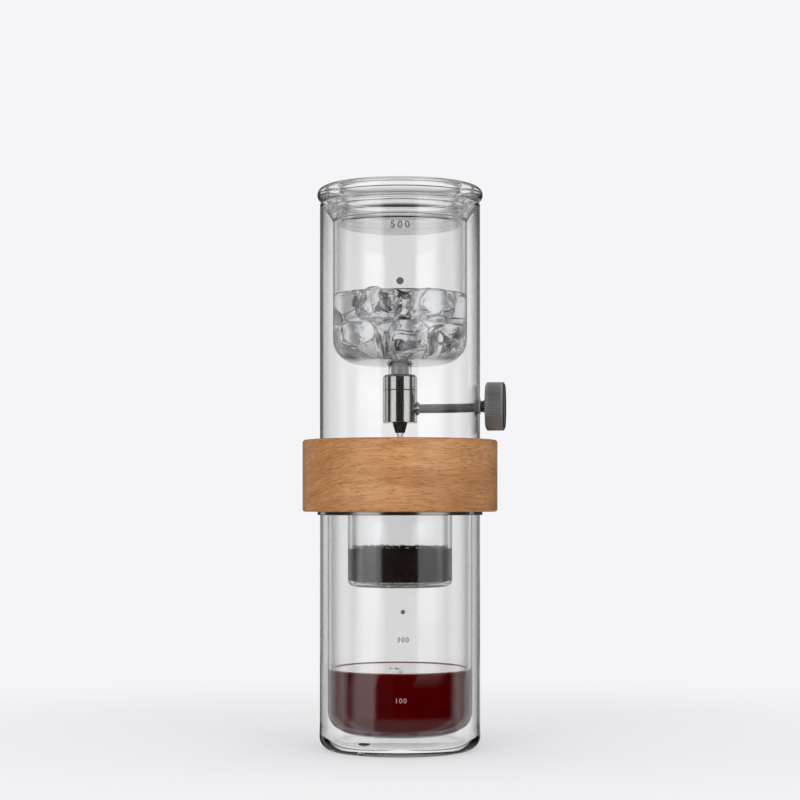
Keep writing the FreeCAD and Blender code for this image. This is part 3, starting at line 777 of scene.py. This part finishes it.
def make_grounds():
    """Bed of wet grounds with an uneven top, loose crumbs and bubbles along its edges."""
    draw = random.Random(11)
    radius = dripper_r - dripper_wall + wetting
    shape = bmesh.new()
    top_r = radius - 0.4 * mm
    add_turned(shape, profile([
        (0, dripper_floor_z + 0.6 * mm, 0),
        (radius, dripper_floor_z + 0.6 * mm, 1.5 * mm),
        (radius, grounds_top_z - 0.6 * mm, 0.8 * mm),
        (top_r * 0.98, grounds_top_z, 0),
        (top_r * 0.8, grounds_top_z - 0.3 * mm, 0),
        (top_r * 0.6, grounds_top_z - 0.5 * mm, 0),
        (top_r * 0.4, grounds_top_z - 0.6 * mm, 0),
        (top_r * 0.2, grounds_top_z - 0.8 * mm, 0),
        (0, grounds_top_z - 0.9 * mm, 0),
    ], 5), 180)
    bmesh.ops.recalc_face_normals(shape, faces=shape.faces)
    rough_from = grounds_top_z - 1.4 * mm
    for vertex in shape.verts:
        if vertex.co.z > rough_from:
            vertex.co.z += 0.5 * mm * noise.noise(vertex.co * 420)
    bed = finish_mesh("grounds_bed", shape, "dripper")
    wear(bed, grounds_black)
    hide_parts("coffee_grounds")

    crumbs, bubbles = [], []
    inside = dripper_r - dripper_wall
    crumb_count = 620
    crumb_share = 0.45
    top_edge = (grounds_top_z, 230, 0.9 * mm)
    bottom_edge = (dripper_floor_z + 0.7 * mm, 120, 0.5 * mm)
    for _ in range(crumb_count):
        angle = draw.uniform(0, full_turn)
        size = draw.uniform(0.25, 0.75) * mm
        r = (inside - size) * math.sqrt(draw.random())
        z = grounds_top_z + size * 0.3 - 0.4 * mm
        crumbs.append((round_axis(r, angle, z), size))
    for z, count, spread in (top_edge, bottom_edge):
        for _ in range(count):
            angle = draw.uniform(0, full_turn)
            size = draw.uniform(0.16, 0.5) * mm
            r = inside - size * 0.8
            place = round_axis(r, angle, z + draw.uniform(-0.2, 0.9) * spread)
            (crumbs if draw.random() < crumb_share else bubbles).append((place, size))
    loose = bead_ring("grounds_crumbs", "dripper", grounds_black, crumbs)
    wet = bead_ring("grounds_bubbles", "dripper", tan_foam, bubbles, detail=2)


def dress_dripper_nodes():
    """Materials of the dripper's CAD nodes."""
    wear(nodes["dripper_gasket"], pale_silicone)
    wear(nodes["filter_rim"], pale_silicone)
    wear(nodes["filter_disc"], disc_steel)


# Upper vessel


def make_upper():
    """Outer tube and inner vessel fused at the rim, with the outlet neck and the stem's hole."""
    void_r = tube_r - wall
    end_r = wall / 2 * 0.95
    rim_round_r = rim_width / 2 * 0.98
    rim_inner_r = tube_r - rim_width
    flare_top_z = upper_top_z - rim_width / 2
    neck_bore_r = neck_r - neck_wall
    piece = turned_piece("upper_double_wall", "upper_vessel", [[
        (void_r, upper_low_z, end_r),
        (tube_r, upper_low_z, end_r),
        (tube_r, upper_top_z, rim_round_r),
        (rim_inner_r, upper_top_z, rim_round_r),
        (rim_inner_r, flare_top_z - 0.05 * mm, 0),
        (vessel_r, flare_z, flare_soften_r),
        (vessel_r, vessel_floor_z, vessel_corner_r - wall),
        (neck_bore_r, vessel_floor_z, neck_wall / 2),
        (neck_bore_r, neck_end_z, neck_wall / 3),
        (neck_r, neck_end_z, neck_wall / 3),
        (neck_r, vessel_under_z, neck_fillet_r),
        (vessel_r + wall, vessel_under_z, vessel_corner_r),
        (vessel_r + wall, flare_z + flare_skew, flare_soften_r),
        (void_r, flare_top_z - flare_skew, wall / 3),
    ]], turns=192, steps=12)
    cut(piece, [cylinder_tool(grommet_hole_r, (vessel_r, 0, stem_z), (tube_r + wall, 0, stem_z))])
    wear(piece, tube_glass)
    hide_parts("upper_glass")


def make_water():
    """Water that wets the vessel, clear of the outlet's parts."""
    meniscus = 0.5 * mm
    radius = vessel_r + wetting
    floor_z = vessel_floor_z - wetting
    outlet_r = 8.8 * mm
    outlet_z = high("inlet_strainer").z + 0.3 * mm
    piece = turned_piece("water_in_vessel", "upper_vessel", [[
        (0, outlet_z, 0),
        (outlet_r, outlet_z, 0.8 * mm),
        (outlet_r, floor_z, 0),
        (radius, floor_z, vessel_corner_r - wall),
        (radius, water_top_z + meniscus, 0),
        (radius - 2 * meniscus, water_top_z, meniscus),
        (0, water_top_z, 0),
    ]], turns=160, steps=8)
    wear(piece, clear_water)
    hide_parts("steeping_water")


def islands(mesh):
    """Centres of the separate lumps of a mesh, and the tree that rays are cast at."""
    shape = bmesh.new()
    shape.from_mesh(mesh)
    bmesh.ops.remove_doubles(shape, verts=shape.verts, dist=0.001 * mm)
    tree = BVHTree.FromBMesh(shape)
    left = set(shape.verts)
    centres = []
    while left:
        queue = [left.pop()]
        corners = [queue[0].co.copy()]
        while queue:
            for edge in queue.pop().link_edges:
                for vertex in edge.verts:
                    if vertex in left:
                        left.discard(vertex)
                        queue.append(vertex)
                        corners.append(vertex.co.copy())
        lows = Vector([min(co[i] for co in corners) for i in range(3)])
        highs = Vector([max(co[i] for co in corners) for i in range(3)])
        centres.append((lows + highs) / 2)
    shape.free()
    return sorted(centres, key=tuple), tree


def chipped(draw):
    """Random planes that chip one lump: each is a direction and a share of the reach that way."""
    plane_count = 8
    planes = []
    for _ in range(plane_count):
        way = Vector((draw.gauss(0, 1), draw.gauss(0, 1), draw.gauss(0, 0.8))).normalized()
        planes.append((way, draw.uniform(0.74, 0.95)))
    return planes


def make_ice():
    """Lumps of ice, chipped and melted, where the CAD's lumps are."""
    draw = random.Random(23)
    swell = 1.5 * mm
    pit = 0.25 * mm
    least_facing = 0.3
    centres, surface = islands(nodes["ice_cubes"].data)
    shape = bmesh.new()
    for centre in centres:
        planes = chipped(draw)
        place = Matrix.Translation(centre)
        made = bmesh.ops.create_icosphere(shape, subdivisions=5, radius=1.0, matrix=place)
        for vertex in made["verts"]:
            way = (vertex.co - centre).normalized()
            reach = surface.ray_cast(centre, way)[3] + swell
            for plane_way, share in planes:
                towards = way.dot(plane_way)
                if towards > least_facing:
                    depth = surface.ray_cast(centre, plane_way)[3] * share + swell / 2
                    reach = min(reach, depth / towards)
            on_surface = centre + way * reach
            reach += swell * 0.25 * noise.noise(on_surface * 90) - pit * abs(noise.noise(on_surface * 260))
            vertex.co = centre + way * reach
    bmesh.ops.smooth_vert(
        shape, verts=shape.verts, factor=0.5, use_axis_x=True, use_axis_y=True, use_axis_z=True,
    )
    piece = finish_mesh("ice_lumps", shape, "upper_vessel", sharp=80.0)
    wear(piece, wet_ice)
    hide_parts("ice_cubes")


# Valve


def make_valve():
    """Polished shell over the cap, above a fine joint line, and the boss of the stem."""
    edge_r = 0.3 * mm
    chamfer = 1.4 * mm
    stem_gap = 0.05 * mm
    neck_gap = 0.1 * mm
    cap = turned_piece("valve_cap_shell", "upper_vessel", [[
        (neck_r + neck_gap, valve_joint_z, 0),
        (valve_r, valve_joint_z, edge_r),
        (valve_r, valve_top_z - chamfer, edge_r),
        (valve_r - chamfer, valve_top_z, edge_r),
        (neck_r + neck_gap, valve_top_z, 0),
    ]], turns=160, steps=6)
    wear(cap, valve_steel)
    wear(nodes["valve_body"], valve_steel)
    boss_r = 4.0 * mm
    boss_root_r = 5.2 * mm
    boss_root_x = valve_r - 1.2 * mm
    boss_end_x = valve_r + 1.5 * mm
    boss = turned_piece("stem_boss", "upper_vessel", [[
        (stem_r + stem_gap, boss_root_x, 0),
        (boss_root_r, boss_root_x, 0),
        (boss_r, valve_r + 0.25 * mm, 0.8 * mm),
        (boss_r * 0.8, boss_end_x, 0.3 * mm),
        (stem_r + stem_gap, boss_end_x, 0),
    ]], turns=96, steps=5, along_x=True)
    wear(boss, valve_steel)


def make_drop():
    """Drop that is about to fall."""
    top_z = nozzle_low_z - 0.05 * mm
    height = top_z - drop_low_z
    drop = turned_piece("hanging_drop", "upper_vessel", [[
        (0, drop_low_z, 0),
        (1.05 * mm, drop_low_z, 0.95 * mm),
        (1.9 * mm, drop_low_z + height * 0.7, 2.5 * mm),
        (2.2 * mm, top_z, 0),
        (0, top_z, 0),
    ]], turns=64, steps=10)
    wear(drop, clear_water)
    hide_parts("water_drop")


def dress_valve_nodes():
    """Materials of the valve's CAD nodes."""
    for name in ("valve_cap", "inlet_strainer", "valve_needle", "gland_bush"):
        wear(nodes[name], valve_steel)
    wear(nodes["valve_nozzle"], nozzle_steel_painted_wood_reflection)
    wear(nodes["valve_stem"], stem_steel)
    wear(nodes["outlet_seal"], frosted_seal)
    wear(nodes["stem_grommet"], pale_silicone)
    wear(nodes["valve_gasket"], pale_silicone)
    wear(nodes["valve_seat"], white_polymer)
    wear(nodes["stem_o_ring"], dark_rubber)
    wear(nodes["server_vent_plug"], dark_rubber)


# Knob


def make_knob():
    """Knob with a fine straight knurl between two plain chamfers, and its conical collar."""
    teeth = 90
    depth = 0.4 * mm
    back_chamfer = 1.1 * mm
    front_chamfer = 0.8 * mm
    face_r = 13.0 * mm
    bore_r = 2.75 * mm
    face_sunk_x = knob_high_x - 0.15 * mm
    bore_end_x = knob_high_x - 3.3 * mm
    cone_end_x = knob_low_x - 0.05 * mm
    knurl_from = knob_low_x + back_chamfer * 0.9
    knurl_to = knob_high_x - front_chamfer * 1.1

    def knurled(point, angle):
        if point.x < knob_r - depth or not knurl_from <= point.y <= knurl_to:
            return point.x
        phase = (angle * teeth / full_turn) % 1.0
        return point.x - depth * (1 - abs(2 * phase - 1))

    steps_along = 10
    side = [
        (knob_r, knurl_from + (knurl_to - knurl_from) * i / steps_along, 0) for i in range(steps_along + 1)
    ]
    knob = turned_piece("knurled_knob", "knob", [[
        (bore_r, knob_low_x, 0),
        (face_r, knob_low_x, 0.4 * mm),
        *side,
        (face_r, knob_high_x, 0.4 * mm),
        (face_r * 0.86, knob_high_x, 0),
        (face_r * 0.82, face_sunk_x, 0),
        (0, face_sunk_x, 0),
        (0, bore_end_x, 0),
        (bore_r, bore_end_x, 0),
    ]], turns=teeth * 8, steps=4, along_x=True, radius_at=knurled)
    wear(knob, knob_metal, knob_face_metal)
    for polygon in knob.data.polygons:
        if polygon.center.x > knurl_to:
            polygon.material_index = 1
    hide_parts("valve_knob")
    collar = turned_piece("knob_cone", "knob", [[
        (bore_r, collar_low_x, 0),
        (3.2 * mm, collar_low_x, 0),
        (3.5 * mm, collar_low_x + 1.5 * mm, 0.6 * mm),
        (4.4 * mm, cone_end_x, 0),
        (bore_r, cone_end_x, 0),
    ]], turns=96, steps=5, along_x=True)
    wear(collar, knob_face_metal)
    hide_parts("knob_collar")


# Lid


def make_lid():
    """Pressed glass lid with a rounded brim and a hollow plug."""
    plug_top_r = lid_plug_r + lid_plug_taper
    mouth_r = plug_top_r - lid_wall
    brim_under_z = lid_top_z - lid_brim
    brim_round_r = lid_brim / 2 * 0.98
    lid = turned_piece("pressed_lid", "lid", [[
        (0, lid_low_z, 0),
        (lid_plug_r, lid_low_z, lid_corner_r),
        (plug_top_r, brim_under_z - lid_shoulder_drop, lid_shoulder_drop / 2),
        (plug_top_r + lid_shoulder_width, brim_under_z, lid_shoulder_drop),
        (lid_r, brim_under_z, brim_round_r),
        (lid_r, lid_top_z, brim_round_r),
        (mouth_r, lid_top_z, lid_mouth_r),
        (lid_plug_r - lid_wall, lid_low_z + lid_wall, lid_corner_r),
        (0, lid_low_z + lid_wall, 0),
    ]], turns=192, steps=14)
    wear(lid, pressed_glass)
    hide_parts("lid_glass")


# Marks


def wrap(mesh, radius, degrees, height):
    """Wraps a flat mesh round the tube. Its x runs round the tube and its z stands out of it."""
    for vertex in mesh.vertices:
        x, y, out = vertex.co
        angle = math.radians(degrees) + x / radius
        reach = radius + out
        vertex.co = (reach * math.sin(angle), -reach * math.cos(angle), height + y)


def mark_piece(name, mesh, body, degrees, height, material):
    """Mark fired on the outside of the tube."""
    film = 0.03 * mm
    wrap(mesh, tube_r + film, degrees, height)
    piece = add_object(name, mesh)
    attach(piece, body)
    wear(piece, material)


def make_number(name, text, body, degrees, height, size, material, spacing):
    """Plain number on the tube."""
    curve = bpy.data.curves.new(name, "FONT")
    curve.body = text
    curve.align_x = "CENTER"
    curve.align_y = "CENTER"
    curve.size = size
    curve.space_character = spacing
    curve.extrude = 0.02 * mm
    curve.offset = size * 0.012
    curve.resolution_u = 6
    holder = add_object(name, curve)
    mesh = evaluated_mesh(holder)
    bpy.data.objects.remove(holder)
    mark_piece(name, mesh, body, degrees, height, material)


def make_dot(name, body, degrees, height, radius, material):
    """Plain round dot on the tube."""
    shape = bmesh.new()
    bmesh.ops.create_cone(shape, cap_ends=True, segments=32, radius1=radius, radius2=radius, depth=0.04 * mm)
    mark_piece(name, mesh_of(shape, name), body, degrees, height, material)


def make_marks():
    """Levels in millilitres on the server, and the fill level on the upper vessel."""
    server_turn = 8.0
    lower_turn = server_turn - 1.5
    size = 4.0 * mm
    spacing = 1.25
    make_number("mark_100", "100", "server", lower_turn, 33.3 * mm, size, pale_ink, spacing)
    make_dot("mark_200", "server", lower_turn, 50.2 * mm, 1.2 * mm, pale_grey_ink)
    make_number("mark_300", "300", "server", server_turn, 68.5 * mm, size, grey_ink, spacing)
    make_dot("mark_400", "server", server_turn, 84.7 * mm, 1.3 * mm, grey_ink)
    make_number("mark_500", "500", "upper_vessel", camera_turn, 308.2 * mm, 5.8 * mm, grey_ink, 1.45)
    make_dot("mark_low", "upper_vessel", camera_turn, 275.7 * mm, 2.1 * mm, grey_ink)


make_server()
make_coffee()
make_coffee_foam()
make_collar()
make_dripper()
make_grounds()
dress_dripper_nodes()
make_upper()
make_water()
make_ice()
dress_valve_nodes()
make_valve()
make_drop()
make_knob()
make_lid()
make_marks()


# Stage


def around(degrees, distance, height):
    """Point round the tower, at an angle from the camera's side."""
    angle = math.radians(degrees + camera_turn)
    return Vector((distance * math.sin(angle), -distance * math.cos(angle), height))


floor_r = 12.0
# Distances from the axis over which the floor turns into the backdrop, and its glow at the object
fade_from = 0.1
fade_to = 0.55
least_glow = 0.4
backdrop_colour = (0.913, 0.905, 0.93)


def make_floor():
    """Pale round floor that keeps the object's shadow and turns into the backdrop further out."""
    shape = bmesh.new()
    bmesh.ops.create_circle(shape, cap_ends=True, segments=96, radius=floor_r)
    floor = add_object("floor", mesh_of(shape, "floor"))
    floor.visible_glossy = False
    floor.visible_transmission = False
    material, tree, output = new_material("floor")
    matt = node(tree, "BsdfDiffuse", Color=(0.9, 0.895, 0.91, 1))
    glow = node(tree, "Emission", Color=(*backdrop_colour, 1))
    where = tree.nodes.new("ShaderNodeTexCoord")
    length = node(tree, "VectorMath", operation="LENGTH")
    fade = node(tree, "MapRange", interpolation_type="SMOOTHSTEP")
    fade.inputs["From Min"].default_value = fade_from
    fade.inputs["From Max"].default_value = fade_to
    fade.inputs["To Min"].default_value = least_glow
    mix = tree.nodes.new("ShaderNodeMixShader")
    tree.links.new(where.outputs["Object"], length.inputs[0])
    tree.links.new(length.outputs["Value"], fade.inputs["Value"])
    tree.links.new(fade.outputs["Result"], mix.inputs[0])
    tree.links.new(matt.outputs[0], mix.inputs[1])
    tree.links.new(glow.outputs[0], mix.inputs[2])
    tree.links.new(mix.outputs[0], output.inputs["Surface"])
    floor.data.materials.append(material)


ambient = 0.5
# Degrees from the camera's side and brightness of the panels that mirrors see
mirror_panels = [
    (-180, 0.92), (-171, 0.92), (-168, 0.06), (-146, 0.06), (-142, 0.7), (-130, 0.7), (-126, 0.05),
    (-70, 0.05), (-58, 1.3), (-29, 1.3), (-26, 0.03), (25, 0.03), (28, 1.3), (60, 1.3), (74, 0.05),
    (112, 0.05), (115, 0.7), (122, 0.7), (125, 0.05), (168, 0.06), (171, 0.92), (180, 0.92),
]
right_end = 95
# Sine of the elevation where the right panels end, and the band over which the left ones turn, in degrees
panel_foot = -0.08
panel_foot_blur = 0.012
panel_foot_turn = 10.0
# How the panels dim towards the floor, and the floor's own brightness
dim_slope = 4.0
dim_at_level = 0.95
dim_least = 0.5
floor_starts = 0.22
floor_full = 0.45
floor_seen = 0.3
# Panels that are seen through glass: their count, the dark and bright ends of their wave
panel_count = 8
panel_dark = 0.3
panel_bright = 0.93
panel_bright_from = 0.55
side_sharpness = 8.0
# Sine of the elevation and brightness, from level to overhead, seen through glass
ceiling_stops = [(0.19, 1.0), (0.21, 0.04), (0.24, 0.04), (0.27, 0.95), (0.5, 0.6), (0.8, 0.2)]


def mirror_view(tree, from_camera, up):
    """What mirrors see: bright panels round the tower with dark between them, over a dim floor."""
    foot_turn = math.radians(panel_foot_turn)
    over_foot = math_node(tree, "DIVIDE", math_node(tree, "SUBTRACT", up, panel_foot), panel_foot_blur)
    over_foot = limited(tree, over_foot)
    turned = math_node(tree, "MULTIPLY_ADD", over_foot, -foot_turn, from_camera)
    turned = math_node(tree, "ADD", turned, foot_turn)
    share = math_node(tree, "ADD", math_node(tree, "DIVIDE", turned, full_turn), 0.5)
    share = math_node(tree, "FRACT", share)
    panels_seen = ramp(tree, share, [(degrees / 360 + 0.5, grey(b)) for degrees, b in mirror_panels])
    past_middle = math_node(tree, "GREATER_THAN", share, 0.5)
    before_end = math_node(tree, "LESS_THAN", share, right_end / 360 + 0.5)
    on_right = math_node(tree, "MULTIPLY", past_middle, before_end)
    lit = math_node(tree, "MAXIMUM", math_node(tree, "SUBTRACT", 1.0, on_right), over_foot)
    height_share = limited(tree, math_node(tree, "MULTIPLY_ADD", up, dim_slope, dim_at_level), dim_least)
    over_floor = math_node(tree, "MULTIPLY", math_node(tree, "MULTIPLY", panels_seen, lit), height_share)
    down = math_node(tree, "MULTIPLY", up, -1.0)
    to_floor = ramp(tree, down, [(floor_starts, grey(0.0)), (floor_full, grey(1.0))])
    return mixed(tree, to_floor, over_floor, (*grey(floor_seen), 1))


def glass_view(tree, from_camera, up, glossy_depth, mirrored):
    """What glass shows: panels on every side, or the mirrors' view in front once a ray was reflected."""
    wave = math_node(tree, "COSINE", math_node(tree, "MULTIPLY", from_camera, float(panel_count)))
    wave = math_node(tree, "MULTIPLY_ADD", wave, 0.5, 0.5)
    panels = ramp(tree, wave, [(0.0, grey(panel_dark)), (panel_bright_from, grey(panel_bright))])
    in_front = math_node(tree, "MULTIPLY_ADD", math_node(tree, "COSINE", from_camera), side_sharpness, 0.5)
    reflected = math_node(tree, "GREATER_THAN", glossy_depth, 0.5)
    factor = math_node(tree, "MULTIPLY", limited(tree, in_front), reflected)
    both_sides = mixed(tree, factor, panels, mirrored)
    ceiling = ramp(tree, up, [(sine, grey(b)) for sine, b in ceiling_stops])
    return mixed(tree, 1.0, both_sides, ceiling, "MULTIPLY")


def make_world():
    """Pale backdrop to the camera, panels to mirrors and glass, and an even grey to the rest."""
    world = bpy.data.worlds.new("studio")
    scene.world = world
    world.use_nodes = True
    tree = world.node_tree
    tree.nodes.clear()
    output = tree.nodes.new("ShaderNodeOutputWorld")
    path = tree.nodes.new("ShaderNodeLightPath").outputs
    where = tree.nodes.new("ShaderNodeTexCoord")
    split = tree.nodes.new("ShaderNodeSeparateXYZ")
    tree.links.new(where.outputs["Generated"], split.inputs[0])
    east, north, up = split.outputs
    angle = math_node(tree, "ARCTAN2", east, math_node(tree, "MULTIPLY", north, -1.0))
    from_camera = math_node(tree, "SUBTRACT", angle, math.radians(camera_turn))
    mirrored = mirror_view(tree, from_camera, up)
    in_glass = glass_view(tree, from_camera, up, path["Glossy Depth"], mirrored)
    colour = mixed(tree, path["Is Glossy Ray"], (*grey(ambient), 1), mirrored)
    colour = mixed(tree, path["Is Transmission Ray"], colour, in_glass)
    colour = mixed(tree, path["Is Camera Ray"], colour, (*backdrop_colour, 1))
    background = node(tree, "Background", Strength=1.0)
    tree.links.new(colour, background.inputs["Color"])
    tree.links.new(background.outputs[0], output.inputs["Surface"])


lamp_aim_height = 0.17
side_lamp_size = (0.7, 1.1)
top_lamp_size = (0.9, 0.9)


def make_lamp(name, place, size, power):
    """Large soft lamp that looks at the middle of the tower."""
    lamp = bpy.data.lights.new(name, "AREA")
    lamp.shape = "RECTANGLE"
    lamp.size, lamp.size_y = size
    lamp.energy = power
    holder = add_object(name, lamp)
    holder.location = place
    aim = Vector((0, 0, lamp_aim_height)) - place
    holder.rotation_euler = aim.to_track_quat("-Z", "Y").to_euler()
    holder.visible_camera = False
    holder.visible_glossy = False
    holder.visible_transmission = False


def make_camera():
    """Level camera at the photograph's viewing angle."""
    data = bpy.data.cameras.new("camera")
    data.lens = camera_lens
    data.shift_y = camera_shift
    camera = add_object("camera", data)
    camera.location = around(0, camera_distance, camera_height)
    camera.rotation_euler = (math.pi / 2, 0, math.radians(camera_turn))
    scene.camera = camera


make_floor()
make_world()
make_lamp("lamp_left", around(-32, 1.2, 0.5), side_lamp_size, 7.0)
make_lamp("lamp_right", around(38, 1.2, 0.45), side_lamp_size, 5.0)
make_lamp("lamp_top", Vector((0, 0, 1.3)), top_lamp_size, 3.5)
make_camera()

light_bounces = 28
mirror_bounces = 12
scene.cycles.max_bounces = light_bounces
scene.cycles.transmission_bounces = light_bounces
scene.cycles.transparent_max_bounces = light_bounces
scene.cycles.glossy_bounces = mirror_bounces
scene.view_settings.view_transform = "Standard"
